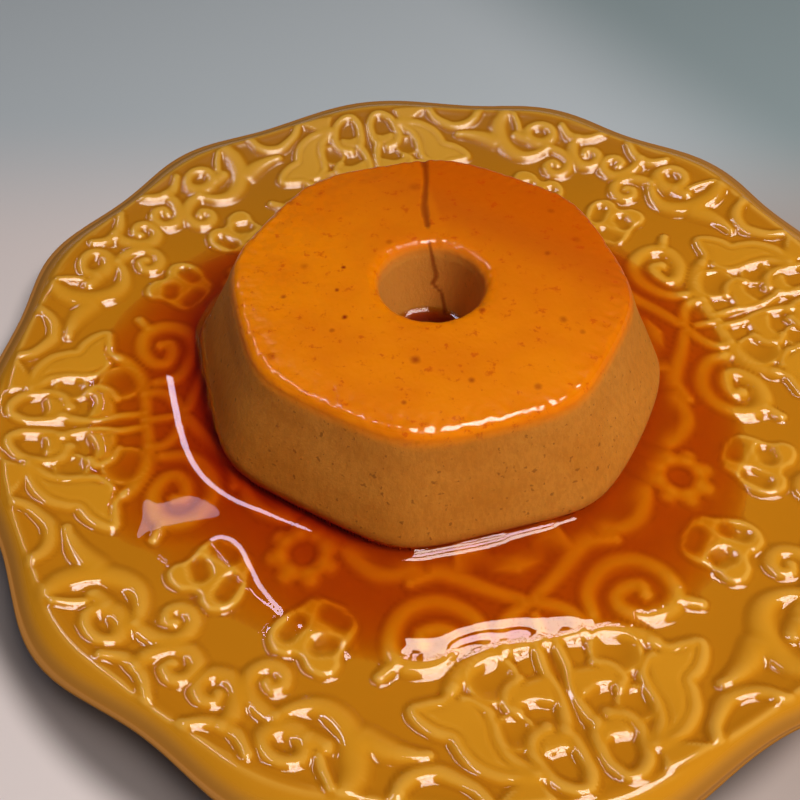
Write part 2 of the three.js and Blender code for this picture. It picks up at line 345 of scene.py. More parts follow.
# %% Filled shapes and dimples
FILLS = {  # outline, shoulder in mm, height as a share of a ridge's
    "wing": (
        [(38.4, 99.2), (35.6, 98.9), (33, 97), (31.2, 93.6), (30.4, 91.2), (28.4, 90.2), (26.6, 88.6),
         (25.4, 86.4), (26.8, 85), (28.8, 84.2), (30.2, 82.2), (32, 82.8), (33.6, 83.8), (34.6, 85.8),
         (35.2, 88.8), (35.4, 92), (36.2, 95), (37.8, 97.4)],
        2.2, 0.88,
    ),
    "root": ([(38.6, 98.6), (36.4, 99.2), (34.4, 101.6), (33, 105), (39.4, 105), (39.5, 101.4)], 1.6, 0.75),
    "petal": (
        [(37.2, 87.4), (36.7, 85), (37.4, 82.2), (39.2, 80), (41.5, 79.2), (44.3, 79.4), (44.3, 88),
         (42.6, 87.6), (40.4, 86.6), (38.6, 87.6)],
        2.4, 0.88,
    ),
    "calyx": ([(39.5, 73), (39.6, 76.5), (39.2, 79.4), (41.8, 80.4), (44.3, 79.6), (44.4, 73)], 3.0, 0.2),
    "bud_heart": (
        [(43.6, 91.2), (41.4, 90.6), (39.6, 92), (39, 95), (40, 97), (42, 96.4), (43.8, 97)],
        2.2, 0.85,
    ),
    "tulip": (
        [(5.6, 68.4), (4.4, 71.5), (2.9, 74.5), (2.4, 78), (3.3, 81.4), (5.4, 83.6), (7.6, 83.4),
         (8.9, 82.4), (10.6, 84.2), (13, 84.8), (15, 83.4), (15.7, 80.6), (15.2, 77.6), (16, 74.6),
         (16.1, 71.2), (14.3, 68.4), (11.4, 67.2), (8.4, 67)],
        2.0, 0.95,
    ),
}
DIMPLES = {  # path, half width, depth as a share of the height
    "tulip_left": ([(5.9, 78), (6.4, 74.8)], 2.2, 0.95),
    "tulip_right": ([(11, 77.9), (12.4, 77)], 2.3, 0.95),
    "tulip_low": ([(10.2, 70.6), (12.9, 71.2)], 2.5, 0.95),
}
BOWLS = {  # centre, radius in mm, height of its edge as a share of a ridge's
    "palmette_bowl": ((35.9, 79.6), 4.7, 0.75),
    "palmette_side": ((37.5, 90.6), 3.4, 0.6),
}
print(len(FILLS), "filled shapes,", len(DIMPLES), "dimples and", len(BOWLS), "bowls")

# %% [markdown]
# ## The ornament under the caramel
#
# The floor of the dish is pressed too, with a scroll, waves and small wreaths. Only soft shades of it
# show through the caramel, but its tops reach the surface in places, and the liquid hangs on them. So
# it is drawn with the same strokes as the rim.

# %% Strokes that the caramel covers
WELL_STROKES = {
    "scroll": (
        [(36, 71.5), (34.6, 66.6), (31, 63.8), (26.6, 63.2), (22.6, 65.6), (20.8, 70.4), (21.5, 75),
         (24.3, 77.4), (28.2, 76.4), (30.8, 73), (30.6, 70), (28, 69), (25.6, 70.4), (26, 72.4)],
        [2.0, 2.4, 2.4, 2.4, 2.2, 2.0],
    ),
    "spur": ([(20.6, 80.6), (22.4, 77.4)], [1.5, 2.0]),
    "wave_a": ([(5.4, 54.4), (9.6, 57.2), (15.5, 59), (20.8, 57.6), (24.8, 54.8)], [2.0, 2.6, 2.0]),
    "wave_b": ([(22.6, 59.2), (27.4, 56.9), (32, 57.6), (38, 60.6), (43.6, 63.8)], [2.0, 2.4, 2.0]),
    "wave_c": ([(32.6, 53), (37.6, 53.6), (41.4, 55.2), (45, 56.4)], [1.8, 2.2, 2.2]),
    "veil": ([(38.8, 73.8), (38.3, 70.8), (39.7, 67.9), (42.3, 65.8), (45, 64.6)], [2.0]),
    "spine": ([(45, 74), (45, 68)], [1.6]),
}
WREATH, WREATH_RADIUS = (0, 60.9), 4.8
PETAL_START, PETAL_END = 5.2, 6.0  # from the wreath's middle
WELL_STROKES["wreath"] = (curl(WREATH, WREATH_RADIUS, WREATH_RADIUS, -90, 180), [2.2])
for start in (-90, -45, 0, 45, 90):
    WELL_STROKES[f"wreath_petal_{start}"] = (curl(WREATH, PETAL_START, PETAL_END, start, 0, 1), [2.6])
print(len(WELL_STROKES), "strokes in an eighth of the well")

# %% [markdown]
# ## From strokes to a height
#
# A pressed ridge has a round top and a soft foot, like a bell. Each stroke is a distance turned into
# such a bell. Where strokes meet, their heights are added as fourth powers, which runs them together
# without a crease or a bump. The height is then known at any point, however fine the mesh is.

# %% Measure the relief at any point of the plate
ORNAMENT_TURN = 0.9  # degrees between the ornament and the waves of the edge
RIDGE_HEIGHT = 1.0
WIDER = 1.2  # a bell's foot reaches past the half width of its stroke
ROUNDNESS = 1.35  # 1 is a round top with a sharp foot, 2 a bell
BLEND = 4  # how sharply crossing ridges keep apart
FAR = 9.0  # stands for any distance past all strokes
BOWL_FADE = 1.3  # where a bowl's edge has fallen to nothing, as a share of its radius


def smooth_path(points, spacing=0.8):
    """A Catmull-Rom curve through [turn, radius] points, in millimetres of the wedge."""
    turns, radii = np.array(points, float).T
    knots = np.stack([radii * np.cos(np.radians(turns)), radii * np.sin(np.radians(turns))], 1)
    ends = (knots[-2], knots[1]) if np.allclose(knots[0], knots[-1]) else (knots[0], knots[-1])
    padded = np.vstack([ends[0], knots, ends[1]])
    path = []
    for a, b, c, d in zip(padded, padded[1:], padded[2:], padded[3:]):
        for t in np.arange(0, 1, spacing / max(np.linalg.norm(c - b), spacing)):
            path.append(b + 0.5 * t * (c - a + t * (2 * a - 5 * b + 4 * c - d + t * (3 * (b - c) + d - a))))
    return np.array(path + [knots[-1]])


def distances(points, path, widths):
    """Distance of each point to a path, as a share of the width there."""
    best = np.full(len(points), FAR)
    for start, end, width in zip(path, path[1:], (widths[1:] + widths[:-1]) / 2):
        along = end - start
        share = np.clip((points - start) @ along / (along @ along), 0, 1)
        best = np.minimum(best, np.linalg.norm(points - start - share[:, None] * along, axis=1) / width)
    return best


def close_by(points, path, reach):
    """Which points lie in the path's box, or within reach of it."""
    return ((points > path.min(0) - reach) & (points < path.max(0) + reach)).all(1)


def bell(points, knots, half_widths):
    """1 on a stroke's line, falling to 0 at its half width."""
    path = smooth_path(knots)
    shares = np.linspace(0, 1, len(half_widths)) if len(half_widths) > 1 else [0]
    widths = WIDER * np.interp(np.linspace(0, 1, len(path)), shares, half_widths)
    near = close_by(points, path, widths.max())
    found = np.zeros(len(points))
    found[near] = (1 - np.minimum(distances(points[near], path, widths), 1) ** 2) ** ROUNDNESS
    return found


def mound(points, outline, shoulder):
    """1 inside a closed outline, falling over its shoulder to 0 on the line."""
    path = smooth_path([*outline, outline[0]])
    near = close_by(points, path, 0)
    here = points[near]
    crossings = np.zeros(len(here), int)
    for (ax, ay), (bx, by) in zip(path, path[1:]):
        spans = (ay > here[:, 1]) != (by > here[:, 1])
        crossings += spans & (here[:, 0] < ax + (bx - ax) * (here[:, 1] - ay) / (by - ay if by != ay else 1))
    depth = distances(here, path, np.ones(len(path))) * (crossings % 2)
    found = np.zeros(len(points))
    found[near] = ease(0, shoulder, depth)
    return found


def folded(x, y):
    """Points of the plate brought into the one wedge that holds the strokes."""
    turn = np.degrees(np.arctan2(y, x)) - ORNAMENT_TURN
    turn, radius = np.radians(np.abs(turn % 90 - 45)), np.hypot(x, y)
    return np.stack([radius * np.cos(turn), radius * np.sin(turn)], 1)


def relief(x, y):
    """Height of the scrollwork at points of the plate, 0 to about 1."""
    points = folded(x, y)
    total = np.zeros(len(points))
    for knots, half_widths in [*RIM_STROKES.values(), *WELL_STROKES.values()]:
        total += bell(points, knots, half_widths) ** BLEND
    for outline, shoulder, share in FILLS.values():
        total += (share * mound(points, outline, shoulder)) ** BLEND
    for (middle, out), reach, share in BOWLS.values():
        centre = out * np.array([math.cos(math.radians(middle)), math.sin(math.radians(middle))])
        gap = np.linalg.norm(points - centre, axis=1) / reach
        total += (share * gap ** 2 * (1 - ease(1, BOWL_FADE, gap))) ** BLEND
    height = total ** (1 / BLEND)
    for knots, half_width, depth in DIMPLES.values():
        height *= 1 - depth * bell(points, knots, [half_width])
    return height


print("relief on the palmette's stem:", round(float(relief(np.array([88.0]), np.array([0.0]))[0]), 2))

# %% [markdown]
# ## The plate
#
# A plate is a turned body, so its mesh is spun from a profile: foot ring, underside, rolled edge,
# then the upper face. Its rows are half a millimetre apart on the rim, where the press left its pattern,
# and wider apart under the caramel. The wavy edge comes from moving the outer rows in and out.

# %% Driving sizes of the plate
RIM_RADIUS = 111.1
RIM_SHIFT = np.array([1.3, 0.4])  # the edge is not quite centred on the ornament
FLARE_START = 98.0  # where the rim starts to follow its edge
SCALLOP = 1.9  # how far the waves go out and in
NOTCH = 27.5  # degrees from a diagonal to where its narrow lobe meets the wide one
PINCH, PINCH_TURN, PINCH_SPREAD = 2.0, 286.0, 12.0  # the edge is pressed in at one place, in mm and degrees
WELL_TOP, WELL_RADIUS, RISE = 5.2, 60.0, 0.0043  # flat inside the radius, and a shallow bowl outside it
CREST_RADIUS, CREST_TOP = 106.0, 14.1
CREST_FALL, CREST_ROUND = 0.56, 2.0  # slope of the outer face, and how far before the crest it starts
BORDER_INSIDE, BORDER_WIDTH, BORDER_RAISE = 102.6, 3, 0.5  # the smooth band outside the ornament
BORDER_FLATTENS, BORDER_GLAZE = 0.8, 0.6  # how far it flattens ridges and is glazed like one
BORDER_WAVE, CREST_WAVE = 0.4, 0.9  # how far they follow the waves of the edge
CRISP_HEIGHT = 0.15  # a point that stands out by this much in mm counts as crisp
PLATE_STEPS = 960


def scallop(turn):
    """How far the edge stands out at an angle: two narrow lobes at each diagonal, a wide one between."""
    from_diagonal = np.abs(turn % 90 - 45)
    narrow = -np.cos(np.radians(from_diagonal * 360 / NOTCH))
    wide = np.cos(np.radians((45 - from_diagonal) * 180 / (45 - NOTCH)))
    return SCALLOP * np.where(from_diagonal < NOTCH, narrow, wide)


def upper_face(x, y):
    """Height of the plate's upper face in mm and its ridge share."""
    radius, turn = np.hypot(x, y), np.degrees(np.arctan2(y, x))
    height = relief(x, y)
    wave = scallop(turn)
    border = ease(BORDER_INSIDE, BORDER_INSIDE + BORDER_WIDTH, radius - BORDER_WAVE * wave)
    roll = np.clip(radius - CREST_WAVE * wave - CREST_RADIUS + CREST_ROUND, 0, None)
    fall = CREST_FALL * roll ** 2 / (roll + CREST_ROUND)
    ground = np.minimum(WELL_TOP + RISE * np.maximum(radius - WELL_RADIUS, 0) ** 2, CREST_TOP - BORDER_RAISE)
    top = ground + RIDGE_HEIGHT * height * (1 - BORDER_FLATTENS * border) + BORDER_RAISE * border - fall
    return top, height * (1 - border) + BORDER_GLAZE * border


def crispness(x, y, reach=1.0):
    """How far the face stands out over its surroundings: positive on edges, negative in grooves."""
    steps = ((reach, 0), (-reach, 0), (0, reach), (0, -reach))
    around = sum(upper_face(x + dx, y + dy)[0] for dx, dy in steps)
    return (upper_face(x, y)[0] - around / len(steps)) / CRISP_HEIGHT


print("edge between", round(RIM_RADIUS - SCALLOP, 1), "and", RIM_RADIUS + SCALLOP, "mm from its middle")

# %% [markdown]
# The eighth that is spun gets its waves before it is copied. The ornament comes after the copies,
# because it is turned by a degree against the waves. Last the whole edge is shifted and pressed in at
# one place, as soft clay is by a hand, so these two break the symmetry of the turned body.

# %% Wave the edge
def away(turn, middle):
    """Degrees between an angle and another, -180 to 180."""
    return (turn - middle + 180) % 360 - 180


def flare(radius):
    """How far a point follows the edge, 0 to 1."""
    return np.clip((radius - FLARE_START) / (RIM_RADIUS - FLARE_START), 0, 1)


def wave_edge(eighth):
    """Moves the outer rows of the plate's first eighth in and out."""
    points = places(eighth)
    turn, radius = np.degrees(np.arctan2(points[:, 1], points[:, 0])), np.hypot(points[:, 0], points[:, 1])
    points[:, :2] *= (1 + flare(radius) * scallop(turn) / np.maximum(radius, 1))[:, None]
    move(eighth, points)


print("degrees from -10 to 350:", away(-10, 350))

# %% [markdown]
# The profile runs from the middle of the underside round the edge to the middle of the top. Its upper
# points wait at a height that nothing else has, so that they are found again once they are spun.

# %% The plate's profile
UNSET = 50.0  # marks the upper face until its height is known
underside = [(0, 1.3), (56.4, 1.3), (57.6, 0.8), (58.4, 0.0), (62.6, 0.0), (63.4, 0.8), (65, 1.4), (78, 2.7)]
underside += [(92, 5.9), (103, 9.2), (106.5, 10.0)]
EDGE_HEIGHT, EDGE_ACROSS, EDGE_UPWARDS = 11.3, 0.9, 0.75  # the middle and half sizes of the rolled edge
edge_turns = np.radians(np.linspace(-75, 60, 5))
edge_radii = RIM_RADIUS - EDGE_ACROSS + EDGE_ACROSS * np.cos(edge_turns)
edge = list(zip(edge_radii, EDGE_HEIGHT + EDGE_UPWARDS * np.sin(edge_turns)))
rows = [*np.arange(110.4, 104, -0.5), *np.arange(103.8, 79, -0.55), *np.arange(78.4, 56, -1), 52, 40, 20, 0]
profile = underside + edge + [(radius, UNSET) for radius in rows]
print(len(profile), "rows round the plate")

# %% [markdown]
# Now the body is spun and the upper face gets its heights. The numbers that the glaze reads are kept on
# the vertices in the same step, because they come from the same sums.

# %% Press the relief and shift the edge
plate = turned(profile, PLATE_STEPS, mirrored=True, shape_eighth=wave_edge)
points = places(plate)
upper = points[:, 2] > UNSET - 1
top, ridge = upper_face(*points[upper, :2].T)
edges = crispness(*points[upper, :2].T)
points[upper, 2] = top
radius, turn = np.hypot(*points[:, :2].T), np.degrees(np.arctan2(points[:, 1], points[:, 0]))
pinched = PINCH * np.exp(-((away(turn, PINCH_TURN) / PINCH_SPREAD) ** 2))
wave = scallop(turn)
points[:, :2] *= (1 - flare(radius) * pinched / np.maximum(radius, 1))[:, None]
points[:, :2] += flare(radius)[:, None] * RIM_SHIFT
move(plate, points)
lip = ease(CREST_RADIUS - 0.5, RIM_RADIUS - 1.5, radius - wave)
for name, values in (("ridge", ridge), ("crisp", edges)):
    stored = np.zeros(len(points))
    stored[upper] = values
    remember(plate, name, stored)
remember(plate, "lip", lip)
print("highest point of the plate at", round(float(top.max()), 1), "mm")

# %% [markdown]
# ## Ochre glaze
#
# A coloured glaze is glass that ran while it melted. It pulls back thin and pale from every edge, and
# pools deep and brown in the grooves. Two numbers kept on the vertices drive that, how high a point
# stands and how far it sticks out of its surroundings. A third marks the lip, which is coloured darker
# and made dull. On the far side, towards +Y, the glaze is less glossy, and painted shade darkens its
# ground while painted light brightens its ridges.

# %% Ochre glaze
GLAZE_GROUND, GLAZE_RIDGE = srgb(198, 126, 18), srgb(222, 152, 32)
GLAZE_EDGE, GLAZE_GROOVE, GLAZE_CLOUD = srgb(244, 188, 80), srgb(164, 92, 6), srgb(204, 130, 16)
GLAZE_FAR_SHADE, GLAZE_FAR_LIT_RIDGE, GLAZE_LIP = srgb(150, 96, 8), srgb(222, 172, 62), srgb(146, 94, 16)

glaze = Finish("ochre_glaze", IOR=1.5)
raised = glaze.attribute("ridge")
crisp = glaze.attribute("crisp")
cloud = glaze.noise(0.04, 3.0)
body = glaze.blend(raised.between(0.15, 0.95), GLAZE_GROUND, GLAZE_RIDGE)
body = glaze.blend(crisp.between(0.1, 1.2) * 0.5, body, GLAZE_EDGE)
body = glaze.blend((crisp * -1).between(0.2, 1.4) * 0.4, body, GLAZE_GROOVE)
body = glaze.blend(cloud.between(0.35, 0.7) * 0.25, body, GLAZE_CLOUD)
far_side = glaze.node("SeparateXYZ", None, {0: glaze.place()}, "Y").between(0.03, 0.1)
# Painted shade and painted light: on the far side the ground is darkened and the ridges are lightened.
body = glaze.blend(far_side * (1 - raised) * 0.5, body, GLAZE_FAR_SHADE)
body = glaze.blend(far_side * raised.between(0.3, 0.9) * 0.5, body, GLAZE_FAR_LIT_RIDGE)
outer = glaze.attribute("lip")
body = glaze.blend(outer * outer * 0.75, body, GLAZE_LIP)
orange_peel = glaze.noise(0.25, 2.0)
roughness = 0.05 + far_side * 0.17 + outer * 0.7
glaze.set(Base_Color=body, Roughness=roughness, Normal=glaze.bump(orange_peel, 0.03))
finished(plate, "glazed_plate", glaze.material, "plate")

# %% [markdown]
# ## The custard
#
# It left an eight-sided mould, so its plan is an octagon with round corners, a little rounder at the
# top than at the foot. Eight flat faces and a bevel would look carved, so it is spun as a ring from one
# closed profile: up the side, over the top, down the wall of the hole and back along the bottom.

# %% Driving sizes of the custard
FLAN_CENTRE = np.array([-3.9, 4.9])
FLAN_TURN = 26.0
FLAN_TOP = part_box("flan")[1][2] / MM
FLAN_FOOT = 5.0
TOP_RADIUS = 46.0
TOP_CORNERS, BASE_CORNERS = 14.0, 20.0  # the higher, the sharper
WATERLINE_RADIUS = 55.7  # where the caramel meets it
SAG, SAG_TURN, SAG_SPREAD = 0.035, 318.0, 24.0  # the foot bulges at one side, as a share, in degrees
SAG_LOW, SAG_HIGH = 9, 24  # in full below the first height, and gone above the second
HOLE_SHIFT = np.array([0.0, -1.3])
HOLE_TOP, HOLE_BASE = 12.0, 10.0
EDGE_ROUND = 2.6  # radius of the top's edges, outside and at the hole
EDGE_WOBBLES, EDGE_DROP, EDGE_FALL = 0.5, 0.25, 0.8  # bumps in a mm, their depth, and their middle
FLAN_STEPS = 560


def octagon(turn, sharpness):
    """Radius of a soft octagon at an angle, as a share of the radius to its corners."""
    from_faces = np.radians(turn[:, None] - FLAN_TURN - 22.5 - 45 * np.arange(8))
    total = (np.clip(np.cos(from_faces), 0, None) ** sharpness[:, None]).sum(1)
    corner = 2 * math.cos(math.radians(22.5)) ** sharpness
    return (total / corner) ** (-1 / sharpness)


def sag(turn):
    """How much wider the foot is at an angle than the octagon."""
    return 1 + SAG * np.exp(-((away(turn, SAG_TURN) / SAG_SPREAD) ** 2))


middle_of_face = octagon(np.array([FLAN_TURN + 22.5]), np.array([TOP_CORNERS]))[0]
print("top", round(2 * TOP_RADIUS * middle_of_face, 1), "mm across its faces, height", round(FLAN_TOP, 1))

# %% [markdown]
# Once spun, the ring's points are pushed in to the octagon, by nothing at the hole and in full near
# the outside, so the hole stays round. Noise lowers the top's two edges a little here and there,
# because something this soft never leaves its mould with a clean edge.

# %% Spin the custard
def arc(centre, reach, start, end, count):
    """Points of a round edge, angles in degrees with 0 outwards and 90 up."""
    turns = np.radians(np.linspace(start, end, count))
    return [(centre[0] + reach * math.cos(a), centre[1] + reach * math.sin(a)) for a in turns]


SIDE_HEIGHTS = [FLAN_FOOT, 8, 9.5, 11.5, 18.5, 26, 32.4]
SIDE_RADII = [54.0, WATERLINE_RADIUS, 56.3, 56.0, 52.7, 48.8, TOP_RADIUS]
side_rows = np.linspace(FLAN_FOOT, FLAN_TOP - EDGE_ROUND, 34)
side = [(np.interp(h, SIDE_HEIGHTS, SIDE_RADII), h) for h in side_rows]
top_edge = arc((TOP_RADIUS - EDGE_ROUND, FLAN_TOP - EDGE_ROUND), EDGE_ROUND, 12, 90, 11)
flat_top = [(r, FLAN_TOP) for r in np.arange(TOP_RADIUS - EDGE_ROUND - 0.8, HOLE_TOP + 3.2, -0.85)]
hole_edge = arc((HOLE_TOP + EDGE_ROUND, FLAN_TOP - EDGE_ROUND), EDGE_ROUND, 90, 180, 8)
wall_heights = np.linspace(FLAN_TOP - 3.4, FLAN_FOOT, 26)
wall = [(np.interp(h, [FLAN_FOOT, FLAN_TOP], [HOLE_BASE, HOLE_TOP]), h) for h in wall_heights]
bottom = [(r, FLAN_FOOT) for r in (24, 38, 50)]
flan = turned(side + top_edge + flat_top + hole_edge + wall + bottom, FLAN_STEPS, closed=True)

points = places(flan)
x, y, z = points.T.copy()
turn, radius = np.degrees(np.arctan2(y, x)), np.hypot(x, y)
sharpness = BASE_CORNERS + (TOP_CORNERS - BASE_CORNERS) * np.clip(z / FLAN_TOP, 0, 1)
outwards = ease(HOLE_TOP + 2, TOP_RADIUS - 6, radius)
sagging = 1 + (sag(turn) - 1) * (1 - ease(SAG_LOW, SAG_HIGH, z))
wobble = np.array([noise.noise(Vector(point) * EDGE_WOBBLES) for point in points])
near_top = ease(FLAN_TOP - 6, FLAN_TOP - 1, z)
near_edge = ease(TOP_RADIUS - 8, TOP_RADIUS - 3, radius) * near_top
near_hole = ease(-HOLE_TOP - 4, -HOLE_TOP - 1, -radius) * near_top
scale = 1 + outwards * (octagon(turn, sharpness) * sagging - 1)
points[:, :2] = points[:, :2] * scale[:, None] + FLAN_CENTRE + (1 - outwards)[:, None] * HOLE_SHIFT
points[:, 2] -= np.maximum(EDGE_FALL + wobble, 0) * EDGE_DROP * (near_edge + near_hole)
move(flan, points)
print(len(points), "points, the foot", round(float(np.ptp(points[:, 0])), 1), "mm across")

# %% [markdown]
# ## Skin, crack and drip
#
# A crack opened at the back when the custard dropped out of its mould, and caramel dripped from it
# down the wall of the hole. The crack is pressed into the mesh as a groove, and both are coloured by a
# number on the vertices. More such numbers say where the skin is, where it lies flat and wet, and where
# the hole's mouth is.

# %% Caramel skin and crack
CRACK = np.array([(5.0, 49), (4.6, 45.2), (3.4, 39.4), (2.0, 34.5), (0.6, 29.8), (0.0, 25.5), (-0.4, 22)])
CRACK_WIDTHS = np.array([1.6, 0.9, 0.8, 0.9, 1.1, 1.3, 0.5])
CRACK_DEPTH = 0.35
groove = np.clip(1 - distances(points[:, :2], CRACK, CRACK_WIDTHS) ** 2, 0, 1)
DRIP = np.array(  # x, z
    [(-1.4, 34), (-0.9, 31), (-0.4, 28), (0.3, 25), (-0.6, 22.5), (1.5, 20), (2.2, 16), (2.5, 13)]
)
DRIP_WIDTHS = np.array([0.4, 0.7, 0.6, 1.0, 0.6, 0.6, 0.6, 0.7])
in_hole = (radius < HOLE_TOP + 2) & (points[:, 1] > FLAN_CENTRE[1])
drip = np.clip(1 - distances(points[:, [0, 2]], DRIP, DRIP_WIDTHS) ** 2, 0, 1) * in_hole
film = ease(FLAN_TOP - 4, FLAN_TOP - 0.8, z) * ease(HOLE_TOP - 1, HOLE_TOP + 1, radius)
gloss = ease(FLAN_TOP - 1.1, FLAN_TOP - 0.3, z)
mouth = ease(-HOLE_TOP - 3.5, -HOLE_TOP - 2.5, -radius) * (z > FLAN_FOOT + 0.5)
points[:, 2] -= CRACK_DEPTH * groove * ease(FLAN_TOP - 5, FLAN_TOP, z)
move(flan, points)
kept = {"film": film, "gloss": gloss, "mouth": mouth, "groove": np.maximum(groove, drip)}
for name, values in kept.items():
    remember(flan, name, values)
print("crack over", int((groove > 0).sum()), "vertices")

# %% [markdown]
# ## Custard and its caramel skin
#
# The side is set egg and milk: matt, a little translucent, with fine pores. The top took up caramel
# in the mould, so it is orange and wet, and burnt sugar grains show as dark specks. Noise gives the
# pores and freckles, which lie anywhere. The large specks are placed one by one.

# %% Burnt specks as [x, y, radius, strength]
SPECKS = [
    (-22.7, 11.6, 0.6, 1), (-25.5, 4.6, 0.6, 0.9), (-25.3, -4.2, 0.8, 1), (-13.1, -19.5, 1.4, 0.7),
    (-3.1, -27.4, 0.9, 0.7), (21.1, -14.9, 1.2, 0.5), (9.7, -31.9, 1.1, 0.5), (-17.9, -30.2, 0.7, 0.6),
    (-31.3, 37.7, 1.2, 0.4), (-31.4, 13.9, 1.3, 0.4), (-37.5, 4.9, 0.8, 0.7), (-42.3, -12.1, 1.4, 0.5),
    (4.5, -8.1, 1.0, 0.6), (30.5, 21.1, 1.2, 0.4), (24.7, 6.5, 1.0, 0.5), (32.9, 9.7, 1.4, 0.3),
    (23.9, -19.3, 0.8, 0.4), (-28.7, -7.5, 0.7, 0.5), (0.0, 37.3, 2.2, 0.3), (-10.6, 18.2, 1.0, 0.4),
]
SPECK_FRAY = 0.6 * MM  # how far noise moves a speck's edge


def specks(finish):
    """The strength of each speck in its middle, 0 between them."""
    total = None
    for x, y, reach, strength in SPECKS:
        centre = (x * MM, y * MM, FLAN_TOP * MM)
        gap = finish.node("VectorMath", {"operation": "DISTANCE"}, {0: finish.place(), 1: centre}, "Value")
        spot = (gap + finish.noise(0.8) * SPECK_FRAY).between((reach + 0.5) * MM, 0.4 * MM) * strength
        total = spot if total is None else total + spot
    return total


print(len(SPECKS), "specks")

# %% [markdown]
# Side and top are one soft body, so they are one shader: their two colours are mixed apart, and the
# skin's share chooses between them. The side's streaks are noise that is stretched upright.

# %% Custard: the side
SIDE_BROWN, SIDE_PALE = srgb(196, 122, 38), srgb(206, 134, 48)
SIDE_STREAK, SIDE_PORE, MOUTH_PAINTED_LIGHT = srgb(168, 98, 26), srgb(112, 56, 14), srgb(250, 168, 72)

custard = Finish("custard", IOR=1.45, Specular_IOR_Level=0.25, Subsurface_Weight=0.2, Coat_Roughness=0.05)
custard.shader.inputs["Subsurface Scale"].default_value = 0.003
custard.shader.inputs["Subsurface Radius"].default_value = (1.0, 0.45, 0.15)
skin, crack, wet = custard.attribute("film"), custard.attribute("groove"), custard.attribute("gloss")
mottle = custard.noise(0.06, 3.0)
pores = custard.noise(0.7, 2.0).between(0.66, 0.72)
upright = custard.node("Mapping", None, {"Vector": custard.place(), "Scale": (1.0, 1.0, 0.3)})
streaks = custard.noise(0.8, 4.0, 0.7, upright)
side_colour = custard.blend(mottle.between(0.3, 0.7), SIDE_BROWN, SIDE_PALE)
side_colour = custard.blend(streaks.between(0.4, 0.62) * 0.3, side_colour, SIDE_STREAK)
side_colour = custard.blend(pores * 0.55, side_colour, SIDE_PORE)
# Painted light: the wall at the hole's mouth is coloured paler, where light falls into the hole.
at_mouth = custard.attribute("mouth")
side_colour = custard.blend(at_mouth * 0.5, side_colour, MOUTH_PAINTED_LIGHT)
print("side mixed with", len(custard.tree.nodes), "nodes")

# %% [markdown]
# The skin is coloured lighter at the front than at the back, and darker beside the crack. Freckles and
# specks go on last.

# %% Custard: the skin
SKIN_LIGHT, SKIN_DARK, SKIN_BACK = srgb(246, 138, 0), srgb(238, 128, 0), srgb(214, 100, 0)
SKIN_CRACK_SIDE, SKIN_FRECKLE = srgb(204, 86, 0), srgb(206, 70, 0)
BURNT_SPECK, CRACK_BROWN = srgb(150, 30, 0), srgb(138, 48, 0)

across = custard.node("SeparateXYZ", None, {0: custard.place()}, "X")
backwards = custard.node("SeparateXYZ", None, {0: custard.place()}, "Y") + across
top_colour = custard.blend(mottle.between(0.35, 0.7), SKIN_LIGHT, SKIN_DARK)
top_colour = custard.blend(backwards.between(-0.02, 0.07), top_colour, SKIN_BACK)
beside_crack = across.between(0.0025, 0.0045) * backwards.between(0.02, 0.035)
top_colour = custard.blend(beside_crack * 0.5, top_colour, SKIN_CRACK_SIDE)
freckles = custard.noise(0.32, 4.0, 0.7).between(0.57, 0.68)
top_colour = custard.blend(freckles * 0.6, top_colour, SKIN_FRECKLE)
top_colour = custard.blend(specks(custard), top_colour, BURNT_SPECK)
colour = custard.blend(skin, side_colour, top_colour)
print("side and skin mixed with", len(custard.tree.nodes), "nodes")

# %% [markdown]
# Where the skin is wet it gets a clear coat. The coat is missing along the back of the top, and in
# patches at its left and at the hole's mouth, where the caramel dried. The grain of the side and the
# long ripples of the skin are bumps too fine for the mesh.

# %% Custard: wet and dry
at_left = (across - backwards * 0.3 + 0.02).between(0.01, -0.02)
dull = custard.noise(0.45, 2.0).between(0.44, 0.52) * at_left
dull = dull + backwards.between(0.034, 0.046)
dull = dull + at_mouth * custard.noise(0.28, 1.0).between(0.4, 0.5)
grain = custard.noise(1.4, 3.0, 0.6)
ripple = custard.noise(0.3, 2.0)
custard.set(
    Base_Color=custard.blend(crack * 0.75, colour, CRACK_BROWN),
    Roughness=0.5 - wet * 0.3,
    Coat_Weight=wet * (1 - dull),
    Normal=custard.bump((grain + streaks) * (1 - skin) + ripple * skin * 2, 0.12),
)
finished(flan, "custard_ring", custard.material, "flan")

# %% [markdown]
# ## The shape of the liquid's surface
#
# Caramel wets what it touches. It climbs the custard, and it hangs between the ridges that stand out
# of it like a sheet, and these curved edges carry most of its highlights. Their shape follows from
# one rule: surface tension pulls the sheet flat, weight pulls it to its level, and the plate holds it
# up. On a grid of heights the rule is a mean of four neighbours, repeated some hundred times. Below
# are the lines at which the deep pool and the film outside it end.

# %% Where the deep pool and its thin film end, as [degrees, radius]
SHORE = [
    (0, 72), (20, 68), (40, 66), (75, 66), (105, 68), (130, 73), (148, 82), (155, 86), (165, 87), (191, 87),
    (195, 87), (198, 87.5), (202, 88), (205, 86), (208, 76.5), (211, 72), (215, 71.6), (223, 74.2), (232, 76),
    (240, 77), (256, 77), (259, 75), (262, 74), (267, 73.7), (273, 75), (279, 76.6), (283, 78), (287, 79.5),
    (300, 78), (315, 76), (330, 72), (345, 70),
]
FILM = [
    (0, 77), (20, 73), (45, 70), (90, 70), (120, 76), (135, 82), (150, 85), (165, 86), (180, 86.5), (200, 87),
    (210, 84), (225, 83), (240, 80), (252, 78), (258, 76), (282, 76), (288, 79), (300, 81), (315, 78),
    (330, 74), (345, 74),
]
print("shore between", min(r for _, r in SHORE), "and", max(r for _, r in SHORE), "mm from the middle")

# %% [markdown]
# How far the liquid climbs and where it starts to bend isn't the same round the plate, because it lies
# deeper on one side and clings better there. So these sizes are lists of knots as well.

